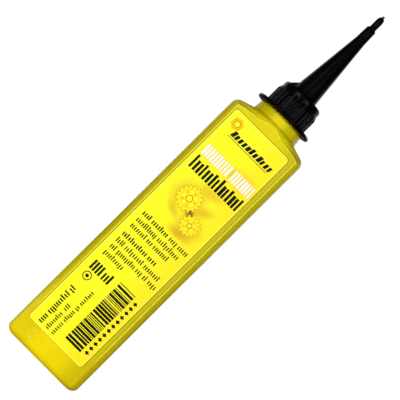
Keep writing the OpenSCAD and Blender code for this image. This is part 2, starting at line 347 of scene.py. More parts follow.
class ShaderGroups:
    """Node groups that materials share, each built once."""

    kinds: dict[int, str] = {3: "NodeSocketVector", 4: "NodeSocketColor"}

    def start(
        self, name: str, inputs: dict[str, object], *outputs: str
    ) -> tuple[Tree, bpy.types.NodeOutputs, bpy.types.NodeInputs]:
        """Start a group with named sockets.

        Args:
            name: Name of the group.
            inputs: First value of each input: a number, a vector of three or a colour of four.
            outputs: Names of the outputs: Color is a colour, the others are numbers.

        Returns:
            Its tree, what it is given and what it puts out.
        """
        group = bpy.data.node_groups.new(name, "ShaderNodeTree")
        for label, value in inputs.items():
            kind = self.kinds[len(value)] if isinstance(value, tuple) else "NodeSocketFloat"
            group.interface.new_socket(label, in_out="INPUT", socket_type=kind).default_value = value
        for label in outputs:
            kind = "NodeSocketColor" if label == "Color" else "NodeSocketFloat"
            group.interface.new_socket(label, in_out="OUTPUT", socket_type=kind)
        tree = Tree(group)
        return tree, tree.add("NodeGroupInput").outputs, tree.add("NodeGroupOutput").inputs

    @cached_property
    def mottle(self) -> bpy.types.NodeTree:
        """Group that lets a colour drift over a moulding."""
        inputs = {"Color": (0.8, 0.8, 0.8, 1.0), "Tint": (0.5, 0.5, 0.5, 1.0), "Scale": 60.0, "Amount": 0.2}
        tree, given, out = self.start("Mottle", inputs, "Color")
        cloud = tree.noise(tree.here(), given["Scale"], 3.0, 0.55)
        share = tree.math("MULTIPLY", tree.band(cloud, 0.35, 0.7), given["Amount"])
        tree.put(out["Color"], tree.mix(share, given["Color"], given["Tint"]))
        return tree.tree

    @cached_property
    def grain(self) -> bpy.types.NodeTree:
        """Group with the fine texture of a blasted mould and the drawn-out lines of the plastic's flow."""
        inputs = {"Scale": 2500.0, "Flow": 120.0, "Flow Share": 0.4, "Roughness": 0.4, "Spread": 0.1}
        tree, given, out = self.start("Grain", inputs, "Height", "Roughness")
        here = tree.here()
        fine = tree.noise(here, given["Scale"], 2.0, 0.6)
        drawn_out = tree.add("ShaderNodeMapping", {"Vector": here, "Scale": Vector((1.0, 1.0, 0.18))})
        flow = tree.noise(drawn_out.outputs[0], given["Flow"], 3.0)
        tree.put(out["Height"], tree.math("MULTIPLY_ADD", flow, given["Flow Share"], fine))
        off = tree.math("SUBTRACT", flow, 0.5)
        tree.put(out["Roughness"], tree.math("MULTIPLY_ADD", off, given["Spread"], given["Roughness"]))
        return tree.tree

    @cached_property
    def scuffs(self) -> bpy.types.NodeTree:
        """Group with the hairline marks of handling, in three directions and in patches."""
        tree, given, out = self.start("Scuffs", {"Scale": 90.0, "Amount": 0.5}, "Mask")
        here = tree.here()
        total: object = 0.0
        for turn, squeeze in ((0.5, 0.05), (-0.9, 0.07), (1.4, 0.04)):
            turned = {
                "Vector": here,
                "Rotation": Vector((0.4 * turn, turn, 0.3)),
                "Scale": Vector((1.0, 1.0, squeeze)),
            }
            lines = tree.noise(tree.add("ShaderNodeMapping", turned).outputs[0], given["Scale"], 4.0, 0.7)
            off = tree.math("ABSOLUTE", tree.math("SUBTRACT", lines, 0.5))
            total = tree.math("ADD", total, tree.math("SUBTRACT", 1.0, tree.band(off, 0.0, 0.012)))
        where = tree.band(tree.noise(here, 45.0, 2.0), 0.5, 0.68)
        marks = tree.math("MULTIPLY", total, where)
        tree.put(out["Mask"], tree.math("MULTIPLY", marks, given["Amount"], clamp=True))
        return tree.tree

    @cached_property
    def soft_spot(self) -> bpy.types.NodeTree:
        """Group with an oval, soft-edged patch on the front, in millimetres."""
        inputs = {
            "Centre": (0.0, 0.0, 0.0), "Turn": (0.0, 0.0, 0.0), "Half Size": (5.0, 1000.0, 5.0),
            "Ragged": 0.3, "Amount": 0.5,
        }
        tree, given, out = self.start("Soft Spot", inputs, "Mask")
        patch = {
            "Vector": tree.here_mm(), "Location": given["Centre"], "Rotation": given["Turn"],
            "Scale": given["Half Size"],
        }
        local = tree.add("ShaderNodeMapping", patch, vector_type="TEXTURE").outputs[0]
        far = tree.add("ShaderNodeVectorMath", {0: local}, operation="LENGTH").outputs["Value"]
        cloud = tree.math("SUBTRACT", tree.noise(tree.here(), 260.0, 2.0), 0.5)
        ragged = tree.math("MULTIPLY_ADD", cloud, given["Ragged"], far)
        tree.put(out["Mask"], tree.math("MULTIPLY", tree.band(ragged, 1.0, 0.1), given["Amount"]))
        return tree.tree

    @cached_property
    def crevices(self) -> bpy.types.NodeTree:
        """Group that masks painted shade at the step's foot and under the cap's flange, in millimetres."""
        inputs = {"Foot": 110.35, "Foot Width": 0.65, "Top": 113.95, "Top Width": 0.9}
        tree, given, out = self.start("Crevices", inputs, "Mask")
        height = tree.split(tree.here_mm())[2]
        upright = tree.band(tree.facing()[2], 0.7, 0.3)
        total: object = 0.0
        for name, share in (("Foot", 0.6), ("Top", upright)):
            off = tree.math("ABSOLUTE", tree.math("SUBTRACT", height, given[name]))
            near = tree.math("DIVIDE", off, given[name + " Width"])
            total = tree.math("MULTIPLY_ADD", tree.band(near, 1.0, 0.15), share, total)
        cloud = tree.band(tree.noise(tree.here(), 500.0, 2.0), 0.0, 0.6)
        tree.put(out["Mask"], tree.math("MULTIPLY", total, cloud))
        return tree.tree

    @cached_property
    def label_edge(self) -> bpy.types.NodeTree:
        """Group with the distance in millimetres to the label's rounded outline, less than 0 inside."""
        inputs = {"Centre": (-0.75, 0.0, 56.8), "Half Width": 12.15, "Half Height": 48.45, "Radius": 1.2}
        tree, given, out = self.start("Label Edge", inputs, "Distance")
        both = {0: tree.here_mm(), 1: given["Centre"]}
        local = tree.add("ShaderNodeVectorMath", both, operation="SUBTRACT")
        x, _, z = tree.split(local.outputs[0])
        over = []
        for place_on, half in ((x, "Half Width"), (z, "Half Height")):
            core = tree.math("SUBTRACT", given[half], given["Radius"])
            over.append(tree.math("SUBTRACT", tree.math("ABSOLUTE", place_on), core))
        squares = [tree.math("POWER", tree.math("MAXIMUM", value, 0.0), 2.0) for value in over]
        corner = tree.math("SQRT", tree.math("ADD", *squares))
        inner = tree.math("MINIMUM", tree.math("MAXIMUM", *over), 0.0)
        total = tree.math("SUBTRACT", tree.math("ADD", corner, inner), given["Radius"])
        tree.put(out["Distance"], total)
        return tree.tree


GROUPS = ShaderGroups()


@dataclass(frozen=True)
class Drift:
    """Slow drift of a colour to a tint, with the scale of its clouds and its strength."""

    tint: Colour
    scale: float
    amount: float


@dataclass(frozen=True)
class Marks:
    """Hairline marks of handling, with their colour and how much rougher they are."""

    scale: float
    amount: float
    colour: Colour
    rougher: float


@dataclass(frozen=True)
class Grain:
    """Fine grain: its scale, flow lines, roughness, and its bump's strength and depth in millimetres."""

    scale: float
    flow: float
    flow_share: float
    roughness: float
    spread: float
    bump: float
    depth: float


class Finish:
    """Base of the finishes: a ground that drifts, what lies on it, hairline marks and a grain."""

    name: str
    colour: Colour
    drift: Drift
    grain: Grain
    marks: Marks | None = None
    ior: float = 1.5
    specular: float = 0.5

    def ground(self, tree: Tree) -> object:
        """Return the colour before it drifts."""
        return self.colour

    def cover(self, tree: Tree, colour: bpy.types.NodeSocket) -> bpy.types.NodeSocket:
        """Return the colour with what lies on it."""
        return colour

    def texture(self, tree: Tree) -> tuple[bpy.types.NodeSocket, bpy.types.NodeSocket]:
        """Return the roughness and the height that the bump shows."""
        grain = self.grain
        fine = tree.group(
            GROUPS.grain, Scale=grain.scale, Flow=grain.flow, Flow_Share=grain.flow_share,
            Roughness=grain.roughness, Spread=grain.spread,
        )
        return fine["Roughness"], fine["Height"]

    def build(self) -> bpy.types.Material:
        """Return the material."""
        material = bpy.data.materials.new(self.name)
        material.use_nodes = True
        tree = Tree(material.node_tree)
        ground, drift, marks = self.ground(tree), self.drift, self.marks
        drifted = tree.group(
            GROUPS.mottle, Color=ground, Tint=drift.tint, Scale=drift.scale, Amount=drift.amount
        )
        colour = self.cover(tree, drifted["Color"])
        rough, height = self.texture(tree)
        if marks:
            mask = tree.group(GROUPS.scuffs, Scale=marks.scale, Amount=marks.amount)["Mask"]
            colour = tree.mix(mask, colour, marks.colour)
            rough = tree.math("MULTIPLY_ADD", mask, marks.rougher, rough)
        bump = {"Height": height, "Strength": self.grain.bump, "Distance": self.grain.depth * MM}
        values = {
            "Base Color": colour, "Roughness": rough, "IOR": self.ior, "Specular IOR Level": self.specular,
            "Normal": tree.add("ShaderNodeBump", bump).outputs[0],
        }
        for name, value in values.items():
            tree.put(material.node_tree.nodes["Principled BSDF"].inputs[name], value)
        return material


@dataclass(frozen=True)
class BlownPlastic(Finish):
    """Opaque yellow blown polyethylene: satin and glossier along its creases, with painted light and shade.

    Its patches are given by places in millimetres and by how far the surface faces sideways or up.
    """

    name: str = "blown_yellow_polyethylene"
    colour: Colour = srgb(226, 210, 6)
    # Painted light: a lighter colour low on the front. Painted shade: darker colours for the right of the
    # front, the corners, the lower left and the step's sides.
    lit_low_colour: Colour = srgb(250, 222, 4)
    shaded_right_colour: Colour = srgb(194, 179, 0)
    shaded_colour: Colour = srgb(180, 166, 2)
    # Painted highlight on the crease bead and on the lower left corners.
    crease: Colour = srgb(255, 250, 96)
    # Painted shade beside the label, in the crevices and in the creases' groove, and painted shadow under the
    # cap's flange.
    painted_shade: Colour = srgb(140, 124, 0)
    painted_shadow: Colour = srgb(84, 72, 0)
    drift: Drift = Drift(srgb(188, 172, 2), 70.0, 0.22)
    grain: Grain = Grain(2300.0, 150.0, 0.5, 0.36, 0.2, 0.14, 0.2)
    marks: Marks = Marks(150.0, 0.05, srgb(255, 250, 96), 0.2)
    ior: float = 1.16
    crease_gloss: float = 0.08

    def crest(self, tree: Tree) -> bpy.types.NodeSocket:
        """Return the share of crease: 1 on its bead and less than 0 in the hollow beside it."""
        return tree.add("ShaderNodeAttribute", attribute_name="crease").outputs["Fac"]

    def ground(self, tree: Tree) -> bpy.types.NodeSocket:
        """Return the plastic's colour with painted light low down, and painted shade to the right, at the
        corners, low on the left and on the step's sides.
        """
        x, y, z = tree.split(tree.here_mm())
        aside = tree.math("ABSOLUTE", tree.facing()[0])
        # Painted shade masks: the right of the front, the rounded corners, the lower left and the step's
        # sides.
        right = tree.patch(1.0, (x, 4.0, 12.5), (y, 1.0, -7.0))
        corner = tree.patch(0.8, (z, 4.0, 50.0), (aside, 0.4, 0.85), (aside, 0.998, 0.95))
        corner = tree.math("MULTIPLY", corner, tree.math("MULTIPLY_ADD", right, -0.85, 1.0))
        left = tree.patch(0.3, (x, -4.0, -10.0), (z, 50.0, 8.0), (aside, 0.4, 0.1))
        step = tree.patch(0.65, (z, 108.3, 109.8), (y, -1.0, -4.0), (x, 6.4, 4.6), (aside, 0.1, 0.42))
        # Painted light towards the bottom, then painted shade to the right, at the corners, low on the left
        # and on the step's sides.
        colour = tree.mix(tree.band(z, 40.0, 2.0), self.colour, self.lit_low_colour)
        colour = tree.mix(tree.math("MULTIPLY", right, 0.75), colour, self.shaded_right_colour)
        for mask in (corner, left, step):
            colour = tree.mix(mask, colour, self.shaded_colour)
        return colour

    def cover(self, tree: Tree, colour: bpy.types.NodeSocket) -> bpy.types.NodeSocket:
        """Return the colour with painted shade beside the label, in the crevices and in the groove beside the
        creases, painted shadow under the cap's flange, and painted highlights on the creases and a low
        corner.
        """
        x, y, z = tree.split(tree.here_mm())
        crest, up = self.crest(tree), tree.facing()[2]
        edge = tree.group(GROUPS.label_edge)["Distance"]
        # Painted shade: a darker band just outside the label's edge, weaker along its bottom edge.
        beside = tree.patch(0.85, (edge, 0.45, 0.12), (y, -9.6, -9.9))
        beside = tree.math("MULTIPLY", beside, tree.math("MULTIPLY_ADD", tree.band(z, 8.2, 9.2), 0.6, 0.4))
        # Painted shade in the crevice at the step's foot and under the flange.
        crevices = tree.group(GROUPS.crevices)["Mask"]
        # Painted shadow of the cap's flange on the top of the step.
        flange_shadow = tree.patch(0.8, (z, 113.25, 113.8), (z, 114.5, 114.2), (up, 0.7, 0.3))
        # Painted shade in the groove beside the crease bead.
        hollow = tree.patch(0.4, (crest, -0.05, -0.5), (z, 106.5, 105.5))
        # Painted highlight along the crease bead.
        ridge = tree.patch(0.85, (crest, 0.2, 0.9))
        # Painted highlight on the lower left corners, front and back.
        from_edge = tree.math("ABSOLUTE", tree.math("ADD", x, 14.7))
        corner_highlight = tree.patch(0.6, (from_edge, 0.6, 0.0), (z, 26.0, 8.0))
        for mask, tint in (
            (beside, self.painted_shade), (crevices, self.painted_shade), (flange_shadow, self.painted_shadow), (hollow, self.painted_shade),
            (ridge, self.crease), (corner_highlight, self.crease),
        ):
            colour = tree.mix(mask, colour, tint)
        return colour

    def texture(self, tree: Tree) -> tuple[bpy.types.NodeSocket, bpy.types.NodeSocket]:
        """Return the roughness, lower on the creases, and the height that the bump shows."""
        rough, height = super().texture(tree)
        return tree.math("MULTIPLY_ADD", self.crest(tree), -self.crease_gloss, rough), height


@dataclass(frozen=True)
class Glow:
    """One soft printed patch: middle, half size, turn in degrees, colour and strength."""

    x: float
    z: float
    half_w: float
    half_h: float
    turn: float
    colour: Colour
    amount: float


@dataclass(frozen=True)
class LabelFilm(Finish):
    """Glossy printed film: a lemon ground with painted shade towards one side, with soft printed shadows."""

    name: str = "printed_label_film"
    colour: Colour = srgb(255, 255, 24)
    # Painted shade: a darker, warmer colour towards the label's right.
    right_shade: Colour = srgb(255, 238, 20)
    # Painted highlight: a lighter colour along the film's edge.
    rim: Colour = srgb(255, 255, 96)
    drift: Drift = Drift(srgb(248, 226, 20), 60.0, 0.18)
    grain: Grain = Grain(900.0, 60.0, 0.3, 0.3, 0.08, 0.04, 0.1)
    marks: Marks = Marks(160.0, 0.04, (1.0, 1.0, 0.6), 0.25)
    ior: float = 1.4
    glows: tuple[Glow, ...] = (
        Glow(6.2, 88.9, 7.6, 5.0, 0.0, srgb(246, 190, 26), 0.66),
        Glow(-6.4, 88.2, 6.4, 3.9, 0.0, srgb(250, 208, 30), 0.55),
        Glow(0.9, 88.5, 3.0, 3.6, 0.0, srgb(216, 168, 36), 0.6),
        Glow(1.0, 79.2, 8.0, 3.4, -5.0, srgb(226, 166, 22), 0.62),
        Glow(-3.3, 73.0, 8.6, 7.6, 0.0, srgb(226, 156, 22), 0.95),
        Glow(3.4, 66.1, 7.0, 6.4, 0.0, srgb(220, 152, 16), 0.85),
        Glow(4.0, 73.0, 5.0, 2.8, -35.0, srgb(222, 168, 14), 0.6),
        Glow(-4.4, 66.9, 4.4, 2.2, 24.0, srgb(214, 160, 16), 0.6),
        Glow(0.7, 69.6, 4.6, 2.0, 43.0, srgb(128, 72, 6), 0.95),
        Glow(2.4, 62.2, 6.6, 2.4, -6.0, srgb(206, 144, 14), 0.62),
    )

    def ground(self, tree: Tree) -> bpy.types.NodeSocket:
        """Return the printed ground with its soft printed shadows and painted shade towards the right."""
        x, _, _ = tree.split(tree.here_mm())
        # Painted shade: the ground turns darker and warmer towards the right.
        colour = tree.mix(tree.band(x, -3.0, 11.0), self.colour, self.right_shade)
        through = 1 / MM
        for glow in self.glows:
            spot = tree.group(
                GROUPS.soft_spot, Centre=Vector((glow.x, 0.0, glow.z)),
                Turn=Vector((0.0, math.radians(glow.turn), 0.0)),
                Half_Size=Vector((glow.half_w, through, glow.half_h)), Amount=glow.amount,
            )
            colour = tree.mix(spot["Mask"], colour, glow.colour)
        return colour

    def cover(self, tree: Tree, colour: bpy.types.NodeSocket) -> bpy.types.NodeSocket:
        """Return the colour with a painted highlight along the film's edge."""
        edge = tree.group(GROUPS.label_edge)["Distance"]
        # Painted highlight along the film's edge.
        return tree.mix(tree.patch(0.7, (edge, -0.5, -0.2)), colour, self.rim)


@dataclass(frozen=True)
class Ink(Finish):
    """One printed colour under the film's gloss."""

    name: str
    colour: Colour
    drift: Drift
    grain: Grain = Grain(1500.0, 300.0, 0.5, 0.26, 0.1, 0.04, 0.1)
    specular: float = 0.25


@dataclass(frozen=True)
class MouldedBlack(Finish):
    """Black injection-moulded polyethylene: satin, with a faint bloom and grey scuffs."""

    name: str = "moulded_black_polyethylene"
    colour: Colour = (0.0006, 0.0006, 0.0006)
    drift: Drift = Drift((0.0018, 0.0019, 0.0019), 160.0, 0.6)
    grain: Grain = Grain(3200.0, 420.0, 0.7, 0.28, 0.22, 0.16, 0.15)
    marks: Marks = Marks(160.0, 0.4, (0.007, 0.007, 0.007), 0.15)
    ior: float = 1.12


@dataclass(frozen=True)
class SealFoam(Finish):
    """White closed-cell foam with open pores on its faces. Its grain is that of the pores."""

    name: str = "white_seal_foam"
    colour: Colour = (0.78, 0.78, 0.72)
    pore_colour: Colour = (0.5, 0.49, 0.42)
    drift: Drift = Drift((0.55, 0.5, 0.36), 400.0, 0.35)
    grain: Grain = Grain(4200.0, 0.0, 0.0, 0.9, -0.15, 0.5, 0.1)

    def pores(self, tree: Tree) -> bpy.types.NodeSocket:
        """Return a share that is 0 in the pores."""
        cells = tree.add("ShaderNodeTexVoronoi", {"Vector": tree.here(), "Scale": self.grain.scale})
        return tree.band(cells.outputs["Distance"], 0.1, 0.45)

    def cover(self, tree: Tree, colour: bpy.types.NodeSocket) -> bpy.types.NodeSocket:
        """Return the colour with darker pores."""
        return tree.mix(self.pores(tree), self.pore_colour, colour)

    def texture(self, tree: Tree) -> tuple[bpy.types.NodeSocket, bpy.types.NodeSocket]:
        """Return the roughness and the pores."""
        pores = self.pores(tree)
        return tree.math("MULTIPLY_ADD", pores, self.grain.spread, self.grain.roughness), pores


@dataclass(frozen=True)
class AmberOil(Finish):
    """Amber oil in the closed bottle."""

    name: str = "amber_oil"
    colour: Colour = (0.62, 0.36, 0.05)
    drift: Drift = Drift((0.42, 0.22, 0.02), 30.0, 0.5)
    grain: Grain = Grain(300.0, 60.0, 1.0, 0.08, 0.05, 0.03, 0.2)
    ior: float = 1.47


# The thread


@dataclass(frozen=True)
class ScrewThread:
    """One ridge that winds round a neck or inside a cap."""

    start: float
    turns: float
    first_turn: float = 0.0
    pitch: float = 3.0
    depth: float = 0.85
    root_w: float = 1.6
    crest_w: float = 0.6
    run_out: float = 0.08

    def rise(self, angle: float, height: float) -> float:
        """Return how far the ridge stands out of its wall.

        Args:
            angle: Angle round the axis in radians.
            height: Height in millimetres.

        Returns:
            The ridge's height over its wall.
        """
        flank = (self.root_w - self.crest_w) / 2 / self.depth
        best = 0.0
        part = angle / (2 * math.pi) - self.first_turn
        for lap in range(-1, 3):
            turn = part + lap
            if not 0 <= turn <= self.turns:
                continue
            share = min(1.0, turn / self.run_out, (self.turns - turn) / self.run_out)
            off = abs(height - self.start - self.pitch * (self.first_turn + turn))
            best = max(best, min(self.depth * share, (self.root_w / 2 - off) / flank))
        return best


# The blown body


@dataclass(frozen=True)
class Level:
    """One level of the body's skin.

    Its fields are its height, its half width and half depth, the half width of the panel between the
    creases, the half depth of the side's flat, the degrees that the corner turns up to the crease, the
    heights of the crease's bead and of the side's mould seam, how far the back panel's middle sinks in, and
    how much wider the bead is cut where it slants.
    """

    z: float
    half_w: float
    half_d: float
    panel: float
    flat: float
    turn: float
    bead: float = 0.0
    seam: float = 0.0
    sink: float = 0.0
    spread: float = 1.0


@dataclass
class BottleShell:
    """The blown body with its shoulder, step, threaded neck, bore and pushed-up base."""

    width: float = 31.6
    depth: float = 20.0
    side_top: float = 105.9
    panel_w: float = 27.2
    side_d: float = 12.0
    edge_turn: float = 60.0
    wall: float = 0.9
    foot_r: float = 2.4
    foot_rim: float = 1.3
    push_up: float = 0.9
    base_r: float = 2.2
    base_curve: tuple[Point, ...] = (
        (1.0, 3.2), (1.0, 0.9), (0.97, 0.35), (0.85, 0.1), (0.15, -0.1), (0.03, -0.35), (0.0, -0.7),
    )
    floor: float = 1.0
    shoulder_r: float = 3.0
    slope: float = 17.8
    arch: tuple[Point, ...] = (
        (0.3, 13.6), (0.45, 13.55), (0.6, 13.35), (0.8, 12.85), (1.05, 11.9), (1.3, 10.6), (1.6, 8.6),
        (1.8, 6.95), (2.0, 5.5), (2.2, 4.45), (2.45, 3.65), (2.7, 3.1), (3.0, 2.55), (3.3, 1.95), (3.6, 1.3),
        (3.8, 0.8), (3.9, 0.5), (3.97, 0.2), (4.0, 0.12),
    )
    step_d: float = 18.95
    step_top_d: float = 18.3
    step_h: float = 3.85
    step_edge: float = 0.5
    neck_d: float = 11.6
    neck_h: float = 8.5
    neck_foot_r: float = 0.3
    rim_r: float = 0.4
    bore_d: float = 9.0
    bore_edge: float = 0.25
    thread_start: float = 2.6
    thread_turns: float = 1.5
    bead_h: float = 0.12
    bead_w: float = 0.95
    crease_shape: tuple[float, ...] = (0.3, 1.0, 1.0, 0.55, 0.0, -0.25, -0.4, -0.45, -0.4, -0.2, 0.0)
    seam: float = 0.04
    sink: float = 0.22
    corner_steps: int = 18
    flat_steps: int = 5
    foot_steps: int = 10
    side_steps: int = 22
    shoulder_steps: int = 22

    def __post_init__(self) -> None:
        """Work out the heights that follow from the sizes."""
        slope = math.radians(self.slope)
        self.step_r = self.step_d / 2
        self.corner_rise = self.shoulder_r * math.cos(slope)
        self.slope_start = self.width / 2 - self.shoulder_r * (1 - math.sin(slope))
        self.shoulder_h = self.corner_rise + (self.slope_start - self.step_r) * math.tan(slope)
        self.step_z = self.side_top + self.shoulder_h
        self.step_top = self.step_z + self.step_h
        self.rim_z = self.step_top + self.neck_h
        self.floor_z = self.push_up + self.floor

    def quarter(self, level: Level) -> list[Spot]:
        """Return a quarter of a level, from the side's middle to the panel's middle.

        Args:
            level: The level.

        Returns:
            The points, each with its share of crease.
        """
        half_w, panel, flat, bead = level.half_w, level.panel, level.flat, level.bead
        turn = math.radians(level.turn)
        across, deep = (half_w - panel) / (1 - math.cos(turn)), (level.half_d - flat) / math.sin(turn)
        near = 0.4 * min(flat, 1.0)
        points = [(half_w + level.seam, 0.0, 0.0), (half_w + level.seam * 0.4, near * 0.4, 0.0)]
        points += [(half_w, near, 0.0), (half_w, (flat + near) / 2, 0.0)]
        last = self.corner_steps - 1
        for i in range(self.corner_steps):
            t = turn * i / last
            crest = self.crease_shape[0] if i == last else 0.0
            y = flat + deep * math.sin(t) + bead * crest
            points.append((half_w - across * (1 - math.cos(t)), y, crest * bead / self.bead_h))
        width = min(self.bead_w * level.spread, panel * 0.7)
        for i, crest in enumerate(self.crease_shape[1:], start=1):
            x = panel - width * i / (len(self.crease_shape) - 1)
            points.append((x, level.half_d + bead * crest, crest * bead / self.bead_h))
        inner = panel - width
        for i in range(1, self.flat_steps + 1):
            points.append((inner * (1 - i / self.flat_steps), level.half_d, 0.0))
        return points

    def ring(self, level: Level) -> Ring:
        """Return a whole level, counter-clockwise seen from above, from the middle of the +X side."""
        quarter = self.quarter(level)
        half = quarter + [(-x, y, c) for x, y, c in reversed(quarter[1:-1])]
        ring = []
        for x, y, c in half:
            bow = math.cos(min(1.0, abs(x) / max(level.panel, 0.01)) * math.pi / 2) if y > level.flat else 0.0
            ring.append((x, y - level.sink * bow, level.z, c))
        return ring + [(-x, -y, level.z, c) for x, y, c in half]

    def round_ring(self, z: float, radius: Callable[[float], float], even: float) -> Ring:
        """Return a round level, whose points move from the corners' spacing to an even one.

        Args:
            z: Height of the level.
            radius: Radius at an angle in radians.
            even: Share of the even spacing.

        Returns:
            The points of the level.
        """
        rough = self.ring(Level(z, 1.0, 1.0, 0.012, 0.012, 90.0))
        ring = []
        for i, (x, y, _, _) in enumerate(rough):
            own = math.atan2(y, x) % (2 * math.pi)
            flat = 2 * math.pi * i / len(rough)
            if own - flat > math.pi:
                own -= 2 * math.pi
            angle = own + (flat - own) * even
            r = radius(angle % (2 * math.pi))
            ring.append((r * math.cos(angle), r * math.sin(angle), z, 0.0))
        return ring

    def shoulder_ring(self, height: float, half_w: float, drawn: float) -> Ring:
        """Return a level of the shoulder.

        Args:
            height: Height above the straight sides.
            half_w: Half width of the level.
            drawn: How far the level is drawn in.

        Returns:
            The points of the level.
        """
        share = height / self.shoulder_h
        half_d = self.step_r + (self.depth / 2 - self.step_r) * math.sqrt(max(0.0, 1 - share**12))
        heights, widths = zip(*self.arch)
        below, panel, above = (float(np.interp(height + off, heights, widths)) for off in (-0.1, 0.0, 0.1))
        top_flat = 0.12
        flat = top_flat + (self.side_d / 2 - top_flat) * (1 - share) ** 1.2
        turn = self.edge_turn + (90 - self.edge_turn) * share**4
        outer = drawn == 0
        bead = self.bead_h * smooth(panel, 0.1, 0.5) if outer else 0.0
        seam = self.seam * (1 - share) if outer else 0.0
        z = self.side_top + height - drawn
        spread = math.hypot(1, (below - above) / 0.2)
        return self.ring(Level(z, half_w - drawn, half_d - drawn, panel, flat, turn, bead, seam, 0.0, spread))

    def shoulder(self, drawn: float) -> list[Ring]:
        """Return the shoulder's levels from the bottom up, drawn in by a wall."""
        slope, steps, radius = math.radians(self.slope), self.shoulder_steps, self.shoulder_r
        first = math.asin(self.arch[0][0] / radius)
        last = math.pi / 2 - slope
        levels = [self.shoulder_ring(0.0, self.width / 2, drawn)]
        for i in range(steps + 1):
            t = first + (last - first) * i / steps
            half_w = self.width / 2 - radius * (1 - math.cos(t))
            levels.append(self.shoulder_ring(radius * math.sin(t), half_w, drawn))
        end = self.step_r + (0.34 if drawn == 0 else 0.0)
        for i in range(1, steps + 1):
            half_w = self.slope_start + (end - self.slope_start) * i / steps
            height = self.corner_rise + (self.slope_start - half_w) * math.tan(slope)
            levels.append(self.shoulder_ring(height, half_w, drawn))
        return levels

    def foot(self, drawn: float, low: float) -> list[Ring]:
        """Return the levels of the foot's curve, drawn in by a wall, from a floor at low."""
        radius = self.foot_r - drawn / 2
        levels = []
        for i in range(self.foot_steps + 1):
            t = math.pi / 2 * i / self.foot_steps
            inset = radius * (1 - math.sin(t))
            half_w, half_d = self.width / 2 - drawn - inset, self.depth / 2 - drawn - inset
            panel, flat = (self.panel_w - inset) / 2, (self.side_d - inset) / 2
            seam = self.seam * math.sin(t) if drawn == 0 else 0.0
            z = low + radius * (1 - math.cos(t))
            levels.append(self.ring(Level(z, half_w, half_d, panel, flat, self.edge_turn, seam=seam)))
        return levels

    def base(self) -> list[Ring]:
        """Return the levels of the pushed-up base, from its middle out to the foot's rim."""
        levels = []
        for rise, out in self.base_curve:
            flank = 0.0 if rise in (1.0, 0.0) else rise
            inset = self.foot_r + self.foot_rim + out + self.push_up * flank * 0.6
            half_w, half_d = self.width / 2 - inset, self.depth / 2 - inset
            panel, flat = half_w - self.base_r, half_d - self.base_r
            levels.append(self.ring(Level(self.push_up * rise, half_w, half_d, panel, flat, 90.0)))
        return levels

    def step_and_neck(self) -> list[Ring]:
        """Return the levels from the step's hollow foot to the neck's inner rim."""
        thread = ScrewThread(self.step_top + self.thread_start, self.thread_turns)
        slope = math.radians(self.slope)
        foot = edge = self.step_edge
        rim, lip, ease = self.rim_r, self.bore_edge, self.neck_foot_r
        rise = foot * (1 - math.sin(slope)) / math.cos(slope)
        top_r, neck_r, bore_r = self.step_top_d / 2, self.neck_d / 2, self.bore_d / 2
        profile = arc((self.step_r + foot, self.step_z + rise), foot, 270 - self.slope, 180, 5)[1:]
        profile += along(profile[-1], (top_r, self.step_top - edge), 4)
        profile += arc((top_r - edge, self.step_top - edge), edge, 0, 90, 5)[1:]
        profile += along(profile[-1], (neck_r + ease, self.step_top), 2)
        profile += arc((neck_r + ease, self.step_top + ease), ease, 270, 180, 3)[1:]
        profile.append((neck_r, self.step_top + 1.4))
        profile += along(profile[-1], (neck_r, self.rim_z - rim), 48)
        profile += arc((neck_r - rim, self.rim_z - rim), rim, 0, 90, 5)[1:]
        profile += arc((bore_r + lip, self.rim_z - lip), lip, 90, 180, 4)

        def radius(angle: float, r: float, z: float) -> float:
            """Return the radius at an angle, with the thread where the profile is on the neck."""
            return r + (thread.rise(angle, z) if abs(r - neck_r) < 1e-6 else 0.0)

        return [
            self.round_ring(z, lambda t, r=r, z=z: radius(t, r, z), smooth(i, 3, 12))
            for i, (r, z) in enumerate(profile)
        ]

    def inside(self) -> list[Ring]:
        """Return the levels of the bore and the hollow, from the rim down to the floor."""
        bore_r, wide_r, bevel, above = self.bore_d / 2, self.step_top_d / 2 - self.wall, 1.2, 0.3
        under = self.step_top - self.wall
        profile = along((bore_r, self.rim_z - self.bore_edge), (bore_r, under + bevel), 6)
        profile += along(profile[-1], (bore_r + bevel, under), 3)
        profile += along(profile[-1], (wide_r, under - bevel), 3)
        profile += along(profile[-1], (wide_r, self.step_z - self.wall + above), 4)
        levels = [
            self.round_ring(z, lambda _t, r=r: r, 1 - smooth(i, 8, len(profile) - 1))
            for i, (r, z) in enumerate(profile)
        ]
        return levels + self.shoulder(self.wall)[::-1] + self.foot(self.wall, self.floor_z)[::-1]

    def sides(self) -> list[Ring]:
        """Return the levels of the straight sides, with the back panel slightly sunk."""
        levels = []
        from_foot, from_top = 0.6, 0.3
        low, high = self.foot_r + from_foot, self.side_top - from_top
        sizes = (self.width / 2, self.depth / 2, self.panel_w / 2, self.side_d / 2, self.edge_turn)
        for i in range(self.side_steps + 1):
            share = i / self.side_steps
            z = low + (high - low) * share
            sink = self.sink * math.sin(math.pi * share) ** 0.7
            levels.append(self.ring(Level(z, *sizes, self.bead_h * smooth(z, 8, 17), self.seam, sink)))
        return levels

    def build(self, material: bpy.types.Material) -> bpy.types.Object:
        """Make the body, put it in the CAD node's place and return it."""
        levels = self.base() + self.foot(0.0, 0.0) + self.sides() + self.shoulder(0.0)
        levels += self.step_and_neck() + self.inside()
        rings = np.array(levels, float)
        rings[:, :, 0] = np.clip(rings[:, :, 0], -self.width / 2, self.width / 2)
        piece = MeshMaker.sleeve("bottle_body", rings, (0.0, self.push_up), (0.0, self.floor_z), 38)
        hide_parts("bottle")
        return place(piece, Body.BOTTLE, material)


# The spout cap


